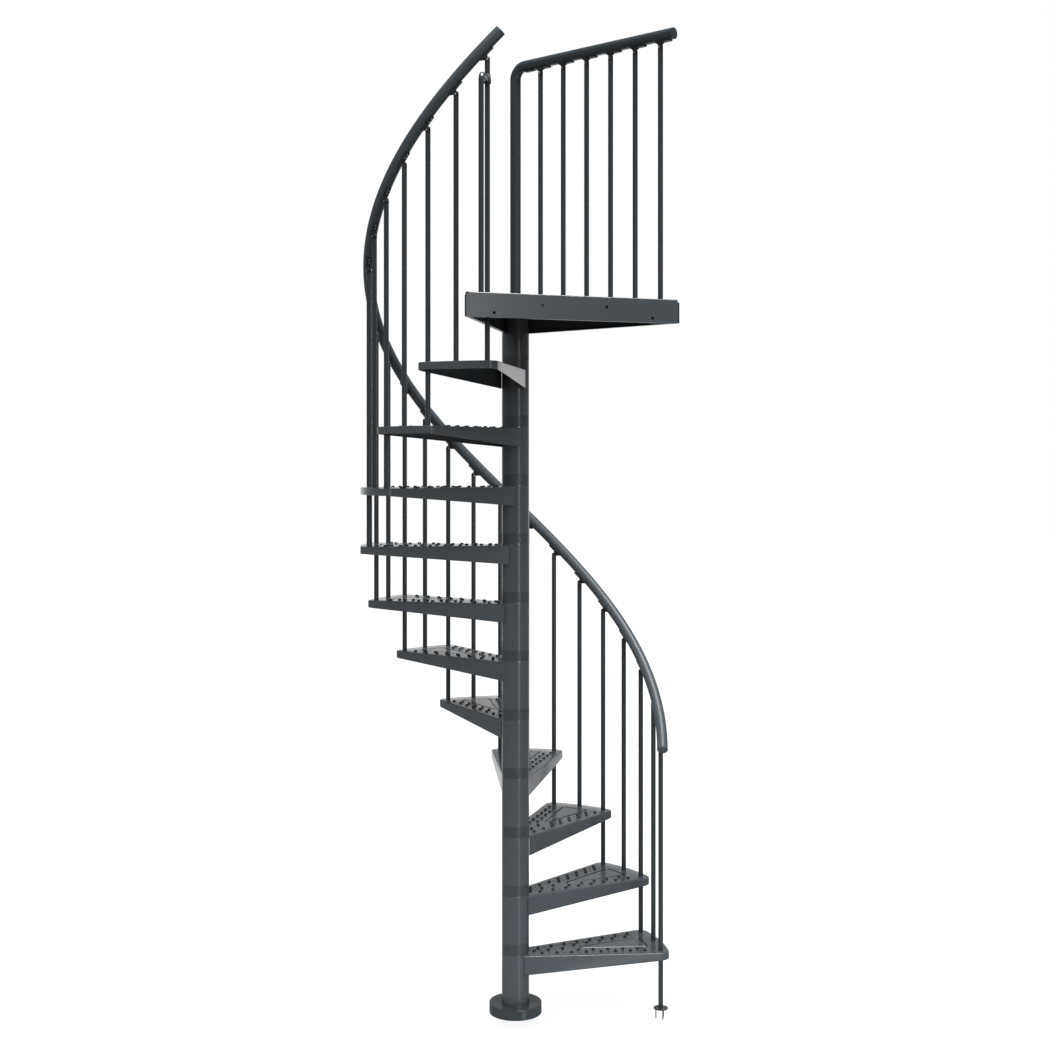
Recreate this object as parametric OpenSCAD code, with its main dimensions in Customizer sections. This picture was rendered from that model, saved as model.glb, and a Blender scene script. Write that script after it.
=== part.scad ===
// Spiral staircase: eleven folded steel treads and a landing threaded on a centre pole,
// with slim balusters, a helical handrail and a guard rail along one side of the landing.
// Millimetres, +Z up. The origin is the middle of the pole's base plate, on the floor.
// The open edge of the landing faces -Y and bolts flat against the floor structure.

/* [Stair] */
// Height from one tread to the next
rise = 230; // [180:1:250]
// Number of treads below the landing
tread_count = 11; // [6:1:15]
// Turn from one tread to the next, degrees
step_angle = 23.34; // [18:0.01:30]
// Distance of the balusters from the pole axis
baluster_r = 577; // [450:1:900]

/* [Centre pole] */
// Outside diameter of the spacer tubes and the tread hubs
pole_d = 108; // [90:1:140]
// Wall of the spacer tubes
spacer_wall = 3.7; // [2.5:0.1:6]
// Wall of the core tube that everything is threaded on
core_wall = 5; // [3:0.5:8]
// Diameter of the base cover
base_d = 206; // [180:1:300]
// Height of the base cover
base_h = 40; // [25:1:60]
// Thickness of the base plate under the cover
base_plate_t = 10; // [6:1:20]
// Diameter of the circle of anchor bolts in the base plate
anchor_circle_d = 156; // [145:1:180]
// Diameter of the anchor bolt holes
anchor_hole_d = 13; // [9:0.5:18]
// Height of the slip ring that stands above every tread
ring_h = 42; // [20:1:60]

/* [Treads] */
// Sheet thickness of treads and landing
sheet_t = 3; // [2:0.5:5]
// Distance from the baluster circle to the outer edge of a tread
tread_overhang = 33; // [25:1:60]
// Distance of a tread's side edge from the pole axis, measured square to the edge
tread_root_half = 47; // [35:1:60]
// Distance from a corner baluster to the side edge of its tread
tread_hole_inset = 38; // [25:1:50]
// Radius of the outer corners
tread_corner_r = 38; // [15:1:50]
// Depth of the side flanges at the pole
flange_root_depth = 74; // [45:1:100]
// Depth of the flange at the outer edge
flange_end_depth = 28; // [20:1:50]
// Height of the hub above the tread surface
hub_lip = 6; // [3:1:15]

/* [Landing] */
// Angle from the middle of the landing to either row of balusters, degrees
landing_half_angle = 29.75; // [20:0.05:45]
// Distance from the pole axis to the open edge of the landing
landing_depth = 626; // [600:1:1000]
// Depth of the landing's flanges
landing_flange_depth = 87; // [60:1:120]
// Distance of the landing's side edge from the pole axis, measured square to the edge
landing_root_half = 42; // [35:1:53]
// Distance from the corner baluster to the side edge of the landing
landing_hole_inset = 45; // [30:1:60]
// Diameter of the bolt holes in the open edge
landing_bolt_d = 11; // [8:0.5:16]
// Width of the folded lip below the landing's flanges
landing_lip = 16; // [8:1:40]
// Distance between the two outer bolts
outer_bolt_spacing = 606; // [400:2:700]
// Distance between the two inner bolts
inner_bolt_spacing = 246; // [100:2:380]
// Depth of the outer bolts below the landing surface
outer_bolt_drop = 70; // [20:1:75]
// Depth of the inner bolts below the landing surface
inner_bolt_drop = 37; // [20:1:75]

/* [Railing] */
// Diameter of the balusters
baluster_d = 19; // [14:0.5:30]
// Wall of the balusters
baluster_wall = 1.5; // [1:0.1:3]
// Diameter of the handrail and of the landing rail
rail_d = 42; // [30:1:60]
// Wall of the handrail tube
rail_wall = 2; // [1.5:0.5:5]
// Height of the handrail's middle above the foot of a corner baluster
rail_height = 1129; // [900:1:1200]
// Distance from the rail's middle to the pivot screw, square to the rail
bracket_reach = 41.4; // [38:0.1:60]
// Height of the pivot piece on top of a baluster
pivot_h = 26; // [20:1:40]
// Turn of the handrail below the lowest baluster, degrees
rail_start_angle = 8.4; // [2:0.1:20]
// Turn of the handrail past the top baluster, degrees
rail_end_angle = 4.5; // [1:0.1:20]
// Height of the landing rail's middle above the landing
landing_rail_height = 960; // [850:5:1100]
// Number of balusters on the landing
landing_baluster_count = 6; // [3:1:9]
// Distance from the pole axis to the first landing baluster
landing_baluster_first = 128; // [100:1:200]
// Spacing of the landing balusters
landing_baluster_pitch = 113.3; // [80:0.1:125]
// Bend radius of the landing rail, to the tube's middle
landing_bend_r = 48; // [35:1:150]
// Length of landing rail past its last baluster
landing_rail_end = 56; // [30:1:120]

/* [Gap tube] */
// Diameter of the tube that closes the gap beside the top of the handrail
gap_tube_d = 19; // [14:0.5:30]
// Height of the gap tube's level arm above the landing
gap_tube_height = 768; // [600:1:900]
// Bend radius of the gap tube, to its middle
gap_bend_r = 28; // [20:1:80]

/* [Floor foot] */
// Diameter of the foot plate below the lowest baluster
foot_d = 58; // [45:1:90]
// Thickness of the foot plate
foot_t = 3; // [2:0.5:8]
// Diameter of the circle of the three foot screws
foot_screw_circle_d = 38; // [32:1:70]
// Diameter of the foot screws
foot_screw_d = 5; // [4:0.5:8]
// Length of the foot screws below the floor line
foot_screw_length = 43; // [20:1:60]

/* [Hidden] */
slip = 0.3;
hole_clearance = 0.5;
core_d = pole_d - 2 * spacer_wall - 2 * slip;
hub_bore = core_d + 2 * slip;
tread_r = baluster_r + tread_overhang;
tread_side_angle = step_angle / 2 - asin((tread_root_half - tread_hole_inset) / baluster_r);
landing_side_angle = landing_half_angle
    - asin((landing_root_half - landing_hole_inset) / baluster_r);
landing_z = rise * (tread_count + 1);
landing_rail_z = landing_z + landing_rail_height;
landing_rail_turn = 270 + landing_half_angle;
gap_tube_r = baluster_r + landing_baluster_pitch;
landing_baluster_last = landing_baluster_first
    + landing_baluster_pitch * (landing_baluster_count - 1);
pole_top_z = landing_z + hub_lip + ring_h;
ring_step = 0.5;
ring_d = pole_d - 2 * ring_step;
pole_cap_t = 6;
pole_cap_bevel = 2;
cover_wall = 2.5;
cover_gap = 2;
cover_bevel = 1;
anchor_turn = 45;
root_gap = 2.5;
foot_bolt_d = 8.5;
tongue_t = 5;
tongue_w = 16;
tongue_gap = 2;
spigot_h = 20;
pivot_floor = 2;
pivot_screw_drop = pivot_h - pivot_floor - tongue_gap - tongue_w / 2;
pivot_screw_d = 5;
pivot_screw_inset = 2;
pivot_head_d = 8;
pivot_head_t = 3;
saddle_t = 4;
saddle_w = 20;
saddle_up = 47;
saddle_down = 18;
clamp_wall = 4;
clamp_d = baluster_d + 2 * clamp_wall;
clamp_h = 34;
clamp_rise = 7;
joint_plate_t = 3;
joint_plate_gap = 6;
foot_screw_turn = 30;
foot_screw_tip_d = 1;
foot_screw_tip_h = 10;
screw_head_d = 9;
screw_head_t = 2.5;
cap_ring_h = 6;
cap_ring_step = 0.5;
cap_dome_h = 6.5;
end_cap_t = 4;
rail_turn_step = 3;
rail_sides = 24;
$fn = 96;

function corner_angle(k) = 270 - landing_half_angle - step_angle * (tread_count + 1 - k);
function middle_angle(k) = corner_angle(k) + step_angle / 2;
function rail_z(a) = rail_height + rise * (a - corner_angle(1)) / step_angle;
function rail_pitch() = atan(rise / (baluster_r * step_angle * PI / 180));
function flange_start(side, a) = sqrt(pow(pole_d / 2 + root_gap, 2) - pow(side, 2)) * cos(a)
    - side * sin(a);
function bracket_height(pitch) = bracket_reach / cos(pitch) - pivot_screw_drop;
function hub_bottom(k) = rise * k
    - (k > tread_count ? landing_flange_depth : flange_root_depth);

module steel() {
    color([0.22, 0.25, 0.27]) children();
}

module plastic() {
    color([0.05, 0.05, 0.055]) children();
}

module zinc() {
    color([0.72, 0.73, 0.74]) children();
}

module polar(a, r) {
    rotate([0, 0, a]) translate([r, 0, 0]) children();
}

module tube(d, wall, h) {
    difference() {
        cylinder(d = d, h = h);
        translate([0, 0, -1]) cylinder(d = d - 2 * wall, h = h + 2);
    }
}

// Base plate, bolted to the floor under its cover
module base_plate() {
    steel() difference() {
        cylinder(d = base_d - 2 * cover_wall - 2 * slip, h = base_plate_t);
        for (i = [0 : 3]) {
            polar(anchor_turn + 90 * i, anchor_circle_d / 2) translate([0, 0, -1])
                cylinder(d = anchor_hole_d, h = base_plate_t + 2);
        }
    }
}

// Cover round the foot of the pole
module base_cover() {
    steel() difference() {
        union() {
            cylinder(d = base_d, h = base_h - cover_bevel);
            translate([0, 0, base_h - cover_bevel])
                cylinder(d1 = base_d, d2 = base_d - 2 * cover_bevel, h = cover_bevel);
        }
        translate([0, 0, -1]) cylinder(d = base_d - 2 * cover_wall, h = base_h - cover_wall + 1);
        translate([0, 0, -1]) cylinder(d = pole_d + 2 * cover_gap, h = base_h + 2);
    }
}

// Core tube, from the base plate to the top slip ring
module pole_core() {
    steel() translate([0, 0, base_plate_t])
        tube(core_d, core_wall, pole_top_z - base_plate_t);
}

// Spacer tubes between the treads
module pole_tubes() {
    steel() {
        translate([0, 0, base_plate_t])
            tube(pole_d, spacer_wall, hub_bottom(1) - base_plate_t);
        for (k = [1 : tread_count]) {
            translate([0, 0, rise * k + hub_lip + ring_h])
                tube(pole_d, spacer_wall, hub_bottom(k + 1) - rise * k - hub_lip - ring_h);
        }
    }
}

// Slip rings on top of every hub
module pole_rings() {
    plastic() for (k = [1 : tread_count + 1]) {
        translate([0, 0, rise * k + hub_lip]) difference() {
            cylinder(d = ring_d, h = ring_h);
            translate([0, 0, -1]) cylinder(d = hub_bore, h = ring_h + 2);
        }
    }
}

// Cap that closes the pole and carries the landing post
module pole_cap() {
    plastic() translate([0, 0, pole_top_z]) difference() {
        union() {
            cylinder(d = ring_d, h = pole_cap_t - pole_cap_bevel);
            translate([0, 0, pole_cap_t - pole_cap_bevel])
                cylinder(d1 = ring_d, d2 = ring_d - 2 * pole_cap_bevel, h = pole_cap_bevel);
        }
        translate([0, 0, -1]) cylinder(d = rail_d + 2 * slip, h = pole_cap_t + 2);
    }
}

// Plan of a tread: straight sides, round corners and an arc about the pole
module tread_plan(inset) {
    r_out = tread_r - inset;
    side = tread_root_half - inset;
    r_corner = tread_corner_r - inset;
    a = tread_side_angle;
    along = sqrt(pow(r_out - r_corner, 2) - pow(side - r_corner, 2));
    corner_turn = a + atan((side - r_corner) / along);
    union() {
        for (s = [-1, 1]) {
            polygon([
                [0, 0],
                [-side * sin(a), s * side * cos(a)],
                [along * cos(a) - side * sin(a), s * (along * sin(a) + side * cos(a))],
                [(r_out - r_corner) * cos(corner_turn),
                    s * (r_out - r_corner) * sin(corner_turn)],
                [(r_out - r_corner) * cos(corner_turn), 0]
            ]);
            translate([(r_out - r_corner) * cos(corner_turn),
                s * (r_out - r_corner) * sin(corner_turn)])
                circle(r = r_corner);
        }
        intersection() {
            circle(r = r_out);
            polygon([
                [0, 0],
                [2 * r_out, -2 * r_out * tan(corner_turn)],
                [2 * r_out, 2 * r_out * tan(corner_turn)]
            ]);
        }
    }
}

// Region above the sloping lower edge of the tread flanges, clear of the pole
module tread_profile() {
    start = flange_start(tread_root_half, tread_side_angle);
    rotate([90, 0, 0]) linear_extrude(height = 2 * tread_r, center = true) polygon([
        [start, 1],
        [start, -flange_root_depth],
        [baluster_r, -flange_end_depth],
        [tread_r + 1, -flange_end_depth],
        [tread_r + 1, 1]
    ]);
}

// One tread: folded sheet welded to its hub
module tread() {
    steel() difference() {
        union() {
            translate([0, 0, -sheet_t]) linear_extrude(height = sheet_t) tread_plan(0);
            intersection() {
                translate([0, 0, -flange_root_depth])
                    linear_extrude(height = flange_root_depth - sheet_t / 2) difference() {
                        tread_plan(0);
                        tread_plan(sheet_t);
                    }
                tread_profile();
            }
            translate([0, 0, -flange_root_depth])
                cylinder(d = pole_d, h = flange_root_depth + hub_lip);
        }
        translate([0, 0, -flange_root_depth - 1])
            cylinder(d = hub_bore, h = flange_root_depth + hub_lip + 2);
        polar(-step_angle / 2, baluster_r) translate([0, 0, -sheet_t - 1])
            cylinder(d = baluster_d + 2 * hole_clearance, h = sheet_t + 2);
        for (a = [0, step_angle / 2]) {
            polar(a, baluster_r) translate([0, 0, -sheet_t - 1])
                cylinder(d = foot_bolt_d, h = sheet_t + 2);
        }
    }
}

module placed_tread(k) {
    translate([0, 0, rise * k]) rotate([0, 0, middle_angle(k)]) tread();
}

module tread_01() { placed_tread(1); }
module tread_02() { placed_tread(2); }
module tread_03() { placed_tread(3); }
module tread_04() { placed_tread(4); }
module tread_05() { placed_tread(5); }
module tread_06() { placed_tread(6); }
module tread_07() { placed_tread(7); }
module tread_08() { placed_tread(8); }
module tread_09() { placed_tread(9); }
module tread_10() { placed_tread(10); }
module tread_11() { placed_tread(11); }

// Plan of the landing, a wedge with a straight open edge; local +X points to that edge
module landing_plan(inset) {
    edge = landing_depth - inset;
    side = landing_root_half - inset;
    a = landing_side_angle;
    half = side / cos(a) + edge * tan(a);
    polygon([
        [-side * sin(a), -side * cos(a)],
        [edge, -half],
        [edge, half],
        [-side * sin(a), side * cos(a)]
    ]);
}

// Ring of the landing's plan, between its outline and the same outline set in, clear of the pole
module landing_rim(inset) {
    start = flange_start(landing_root_half, landing_side_angle);
    intersection() {
        difference() {
            landing_plan(0);
            landing_plan(inset);
        }
        translate([start, -landing_depth]) square([landing_depth, 2 * landing_depth]);
    }
}

// Landing: folded sheet welded to the top hub
module landing() {
    steel() translate([0, 0, landing_z]) rotate([0, 0, 270]) difference() {
        union() {
            translate([0, 0, -sheet_t]) linear_extrude(height = sheet_t) landing_plan(0);
            translate([0, 0, -landing_flange_depth])
                linear_extrude(height = landing_flange_depth - sheet_t / 2)
                landing_rim(sheet_t);
            translate([0, 0, -landing_flange_depth])
                linear_extrude(height = sheet_t) landing_rim(landing_lip);
            translate([0, 0, -landing_flange_depth])
                cylinder(d = pole_d, h = landing_flange_depth + hub_lip);
        }
        translate([0, 0, -landing_flange_depth - 1])
            cylinder(d = hub_bore, h = landing_flange_depth + hub_lip + 2);
        polar(-landing_half_angle, baluster_r) translate([0, 0, -sheet_t - 1])
            cylinder(d = baluster_d + 2 * hole_clearance, h = sheet_t + 2);
        for (j = [0 : landing_baluster_count - 1]) {
            polar(landing_half_angle, landing_baluster_first + landing_baluster_pitch * j)
                translate([0, 0, -sheet_t - 1])
                cylinder(d = foot_bolt_d, h = sheet_t + 2);
        }
        polar(-landing_half_angle, gap_tube_r) translate([0, 0, -sheet_t - 1])
            cylinder(d = foot_bolt_d, h = sheet_t + 2);
        for (s = [-1, 1]) {
            landing_bolt_hole(s * outer_bolt_spacing / 2, outer_bolt_drop);
            landing_bolt_hole(s * inner_bolt_spacing / 2, inner_bolt_drop);
        }
    }
}

module landing_bolt_hole(y, drop) {
    translate([landing_depth - sheet_t - 1, y, -drop]) rotate([0, 90, 0])
        cylinder(d = landing_bolt_d, h = sheet_t + 2);
}

// Balusters through the front corner of every tread, standing on the tread below
module corner_balusters() {
    steel() for (k = [1 : tread_count + 1]) {
        foot_z = k == 1 ? foot_t : rise * (k - 1);
        polar(corner_angle(k), baluster_r) translate([0, 0, foot_z])
            tube(baluster_d, baluster_wall,
                rail_z(corner_angle(k)) - bracket_height(rail_pitch()) - pivot_h - foot_z);
    }
}

// Balusters on the middle of every tread's outer edge
module middle_balusters() {
    steel() for (k = [1 : tread_count]) {
        polar(middle_angle(k), baluster_r) translate([0, 0, rise * k])
            tube(baluster_d, baluster_wall,
                rail_z(middle_angle(k)) - bracket_height(rail_pitch()) - pivot_h - rise * k);
    }
}

// Balusters along one side of the landing
module landing_balusters() {
    steel() for (j = [0 : landing_baluster_count - 1]) {
        polar(landing_rail_turn, landing_baluster_first + landing_baluster_pitch * j)
            translate([0, 0, landing_z])
            tube(baluster_d, baluster_wall,
                landing_rail_height - bracket_height(0) - pivot_h);
    }
}

// Helical handrail
module handrail() {
    a0 = corner_angle(1) - rail_start_angle;
    a1 = corner_angle(tread_count + 1) + rail_end_angle;
    sections = ceil((a1 - a0) / rail_turn_step);
    p = rail_pitch();
    points = [
        for (i = [0 : sections])
            for (j = [0 : rail_sides - 1])
                let (
                    a = a0 + (a1 - a0) * i / sections,
                    t = 360 * j / rail_sides,
                    out = rail_d / 2 * cos(t),
                    up = rail_d / 2 * sin(t),
                    r = baluster_r + out
                )
                [
                    r * cos(a) + up * sin(p) * sin(a),
                    r * sin(a) - up * sin(p) * cos(a),
                    rail_z(a) + up * cos(p)
                ]
    ];
    faces = [
        [for (j = [0 : rail_sides - 1]) j],
        for (i = [0 : sections - 1])
            for (j = [0 : rail_sides - 1])
                [
                    i * rail_sides + j,
                    (i + 1) * rail_sides + j,
                    (i + 1) * rail_sides + (j + 1) % rail_sides,
                    i * rail_sides + (j + 1) % rail_sides
                ],
        [for (j = [rail_sides - 1 : -1 : 0]) sections * rail_sides + j]
    ];
    steel() polyhedron(points = points, faces = faces, convexity = 10);
}

module on_rail(a) {
    translate([baluster_r * cos(a), baluster_r * sin(a), rail_z(a)])
        rotate([0, 0, a]) rotate([rail_pitch(), 0, 0]) children();
}

// End cap: a ring and a shallow dome; local +Z points out of the tube
module end_cap(d) {
    r = (d * d / 4 + cap_dome_h * cap_dome_h) / (2 * cap_dome_h);
    rotate_extrude() union() {
        square([d / 2, cap_ring_h]);
        intersection() {
            translate([0, cap_ring_h + cap_dome_h - r]) circle(r = r);
            translate([0, cap_ring_h / 2]) square([d / 2, r]);
        }
    }
}

// Caps on both ends of the handrail
module handrail_caps() {
    a0 = corner_angle(1) - rail_start_angle;
    a1 = corner_angle(tread_count + 1) + rail_end_angle;
    plastic() {
        on_rail(a0) rotate([90, 0, 0]) end_cap(rail_d + 2 * cap_ring_step);
        on_rail(a1) rotate([-90, 0, 0]) cylinder(d = rail_d, h = end_cap_t);
    }
}

// Stands its children on every baluster under the handrail, at the height of the rail
module at_each_baluster() {
    for (k = [1 : tread_count + 1]) {
        polar(corner_angle(k), baluster_r)
            translate([0, 0, rail_z(corner_angle(k))]) children();
    }
    for (k = [1 : tread_count]) {
        polar(middle_angle(k), baluster_r)
            translate([0, 0, rail_z(middle_angle(k))]) children();
    }
}

// The same for the balusters on the landing; local +Y runs along the rail
module at_each_landing_baluster() {
    for (j = [0 : landing_baluster_count - 1]) {
        polar(landing_rail_turn, landing_baluster_first + landing_baluster_pitch * j)
            translate([0, 0, landing_rail_z]) rotate([0, 0, -90]) children();
    }
}

// Pivot piece: a spigot in the baluster and a slotted round head for the bracket's tongue
module pivot(pitch) {
    top = -bracket_height(pitch);
    difference() {
        union() {
            translate([0, 0, top - pivot_h - spigot_h])
                cylinder(d = baluster_d - 2 * baluster_wall - 2 * slip, h = spigot_h + 1);
            translate([0, 0, top - pivot_h]) cylinder(d = baluster_d, h = pivot_h - baluster_d / 2);
            translate([0, 0, top - baluster_d / 2]) sphere(d = baluster_d);
        }
        translate([-tongue_t / 2 - slip, -baluster_d, top - pivot_h + pivot_floor])
            cube([tongue_t + 2 * slip, 2 * baluster_d, pivot_h]);
        translate([0, 0, top - pivot_screw_drop]) rotate([0, 90, 0])
            cylinder(d = pivot_screw_d + 2 * slip, h = 2 * baluster_d, center = true);
    }
}

// Screw across the pivot; local +X points to its head
module pivot_screw(pitch) {
    length = baluster_d - pivot_screw_inset;
    translate([pivot_screw_inset - baluster_d / 2, 0, -bracket_reach / cos(pitch)])
        rotate([0, 90, 0]) {
            cylinder(d = pivot_screw_d, h = length);
            translate([0, 0, length]) cylinder(d = pivot_head_d, h = pivot_head_t);
        }
}

// Pivot pieces on top of all balusters
module baluster_pivots() {
    plastic() {
        at_each_baluster() pivot(rail_pitch());
        at_each_landing_baluster() pivot(0);
    }
}

// Screws through the pivots
module pivot_screws() {
    zinc() {
        at_each_baluster() pivot_screw(rail_pitch());
        at_each_landing_baluster() pivot_screw(0);
    }
}

// Bracket below the rail: a saddle plate and a tongue square to it, down to the pivot;
// local origin on the rail's middle above the baluster, +Y uphill
module bracket(pitch) {
    foot = -bracket_reach * tan(pitch);
    low = -bracket_reach;
    saddle_z = -rail_d / 2 - slip;
    rotate([pitch, 0, 0]) difference() {
        union() {
            translate([-saddle_w / 2, foot - saddle_down, saddle_z - saddle_t])
                cube([saddle_w, saddle_down + saddle_up, saddle_t]);
            translate([-tongue_t / 2, foot - tongue_w / 2, low])
                cube([tongue_t, tongue_w, saddle_z - saddle_t / 2 - low]);
            translate([-tongue_t / 2, foot, low]) rotate([0, 90, 0])
                cylinder(d = tongue_w, h = tongue_t);
        }
        translate([0, foot, low]) rotate([0, 90, 0])
            cylinder(d = pivot_screw_d + 2 * slip, h = 2 * tongue_t, center = true);
    }
}

// Brackets below the handrail
module rail_brackets() {
    plastic() at_each_baluster() bracket(rail_pitch());
}

// Landing post, bend and level rail in one tube
module landing_rail() {
    straight = landing_baluster_last + landing_rail_end - landing_bend_r;
    steel() rotate([0, 0, landing_rail_turn]) {
        translate([0, 0, pole_top_z - ring_h])
            tube(rail_d, rail_wall, landing_rail_z - landing_bend_r - pole_top_z + ring_h);
        translate([landing_bend_r, 0, landing_rail_z - landing_bend_r])
            rotate([90, 0, 0]) rotate([0, 0, 90]) rotate_extrude(angle = 90)
            translate([landing_bend_r, 0]) difference() {
                circle(d = rail_d);
                circle(d = rail_d - 2 * rail_wall);
            }
        translate([landing_bend_r, 0, landing_rail_z]) rotate([0, 90, 0])
            tube(rail_d, rail_wall, straight);
    }
}

// Cap on the end of the landing rail
module landing_rail_cap() {
    plastic() polar(landing_rail_turn, landing_baluster_last + landing_rail_end)
        translate([0, 0, landing_rail_z]) rotate([0, 90, 0])
        cylinder(d = rail_d, h = end_cap_t);
}

// Brackets below the landing rail, and the short joint plate beside its bend
module landing_brackets() {
    plastic() {
        at_each_landing_baluster() bracket(0);
        rotate([0, 0, landing_rail_turn])
            translate([
                landing_bend_r + joint_plate_gap / 2,
                -saddle_w / 2,
                landing_rail_z - rail_d / 2 - slip - joint_plate_t
            ])
            cube([
                landing_baluster_first - saddle_down - landing_bend_r - 1.5 * joint_plate_gap,
                saddle_w,
                joint_plate_t
            ]);
    }
}

// Tube that closes the gap beside the top of the handrail
module gap_tube() {
    arm_z = landing_z + gap_tube_height;
    arm = gap_tube_r - gap_bend_r - baluster_r - clamp_d / 2;
    steel() rotate([0, 0, 270 - landing_half_angle]) translate([gap_tube_r, 0, 0]) {
        translate([0, 0, landing_z])
            cylinder(d = gap_tube_d, h = gap_tube_height - gap_bend_r);
        translate([-gap_bend_r, 0, arm_z - gap_bend_r])
            rotate([90, 0, 0]) rotate_extrude(angle = 90)
            translate([gap_bend_r, 0]) circle(d = gap_tube_d);
        translate([-gap_bend_r, 0, arm_z]) rotate([0, -90, 0])
            cylinder(d = gap_tube_d, h = arm);
    }
}

// Clamp that ties the gap tube to the top corner baluster
module gap_clamp() {
    zinc() polar(270 - landing_half_angle, baluster_r)
        translate([0, 0, landing_z + gap_tube_height + clamp_rise - clamp_h / 2]) difference() {
            cylinder(d = clamp_d, h = clamp_h);
            translate([0, 0, -1]) cylinder(d = baluster_d + 2 * slip, h = clamp_h + 2);
        }
}

// Foot plate below the lowest baluster
module floor_foot() {
    steel() polar(corner_angle(1), baluster_r) rotate([0, 0, -corner_angle(1)]) difference() {
        cylinder(d = foot_d, h = foot_t);
        for (i = [0 : 2]) {
            polar(foot_screw_turn + 120 * i, foot_screw_circle_d / 2) translate([0, 0, -1])
                cylinder(d = foot_screw_d + 2 * slip, h = foot_t + 2);
        }
    }
}

// Screws that hold the foot plate down
module foot_screws() {
    zinc() polar(corner_angle(1), baluster_r) rotate([0, 0, -corner_angle(1)]) for (i = [0 : 2]) {
        polar(foot_screw_turn + 120 * i, foot_screw_circle_d / 2)
            translate([0, 0, -foot_screw_length]) {
                cylinder(d1 = foot_screw_tip_d, d2 = foot_screw_d, h = foot_screw_tip_h);
                translate([0, 0, foot_screw_tip_h])
                    cylinder(d = foot_screw_d,
                        h = foot_screw_length + foot_t - foot_screw_tip_h);
                translate([0, 0, foot_screw_length + foot_t])
                    cylinder(d = screw_head_d, h = screw_head_t);
            }
    }
}

base_plate();
base_cover();
pole_core();
pole_tubes();
pole_rings();
pole_cap();
tread_01();
tread_02();
tread_03();
tread_04();
tread_05();
tread_06();
tread_07();
tread_08();
tread_09();
tread_10();
tread_11();
landing();
corner_balusters();
middle_balusters();
landing_balusters();
baluster_pivots();
pivot_screws();
handrail();
handrail_caps();
rail_brackets();
landing_rail();
landing_rail_cap();
landing_brackets();
gap_tube();
gap_clamp();
floor_foot();
foot_screws();
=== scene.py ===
import bpy
import bmesh
import math
from mathutils import Matrix, Vector, geometry


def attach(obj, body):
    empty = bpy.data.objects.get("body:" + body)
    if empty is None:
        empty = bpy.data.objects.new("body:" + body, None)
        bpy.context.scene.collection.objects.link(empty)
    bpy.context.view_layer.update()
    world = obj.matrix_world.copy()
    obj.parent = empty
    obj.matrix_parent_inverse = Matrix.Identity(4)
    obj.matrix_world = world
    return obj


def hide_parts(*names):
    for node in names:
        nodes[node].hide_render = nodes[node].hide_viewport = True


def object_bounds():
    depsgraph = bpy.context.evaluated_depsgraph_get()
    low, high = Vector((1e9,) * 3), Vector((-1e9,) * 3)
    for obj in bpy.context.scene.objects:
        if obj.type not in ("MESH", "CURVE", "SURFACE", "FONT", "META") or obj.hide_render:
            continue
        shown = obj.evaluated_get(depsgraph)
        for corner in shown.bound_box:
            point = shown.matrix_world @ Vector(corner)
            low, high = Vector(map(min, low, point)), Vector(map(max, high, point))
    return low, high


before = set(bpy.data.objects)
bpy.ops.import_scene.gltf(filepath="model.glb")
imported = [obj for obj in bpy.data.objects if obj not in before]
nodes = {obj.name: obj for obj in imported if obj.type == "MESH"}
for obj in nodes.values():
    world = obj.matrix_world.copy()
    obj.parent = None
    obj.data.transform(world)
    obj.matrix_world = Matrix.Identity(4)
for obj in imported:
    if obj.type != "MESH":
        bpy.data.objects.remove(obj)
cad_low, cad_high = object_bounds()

scene = bpy.context.scene


# ---------------------------------------------------------------- camera
CAMERA_BEARING = -109.74
CAMERA_DISTANCE = 5.885
CAMERA_HEIGHT = 2.1862
camera_data = bpy.data.cameras.new("camera")
camera_data.lens = 51.14
camera_data.sensor_width = 36.0
camera_data.shift_x = 0.00905
camera_data.shift_y = -0.0646
camera_data.clip_start = 0.1
camera_data.clip_end = 100.0
camera = bpy.data.objects.new("camera", camera_data)
scene.collection.objects.link(camera)
bearing = math.radians(CAMERA_BEARING)
camera.location = (CAMERA_DISTANCE * math.cos(bearing), CAMERA_DISTANCE * math.sin(bearing),
                   CAMERA_HEIGHT)
camera.rotation_euler = (math.radians(90), 0, bearing + math.radians(90))
scene.camera = camera


# ---------------------------------------------------------------- materials
def new_material(name):
    made = bpy.data.materials.new(name)
    made.use_nodes = True
    tree = made.node_tree
    return made, tree, tree.nodes["Principled BSDF"]


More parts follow.
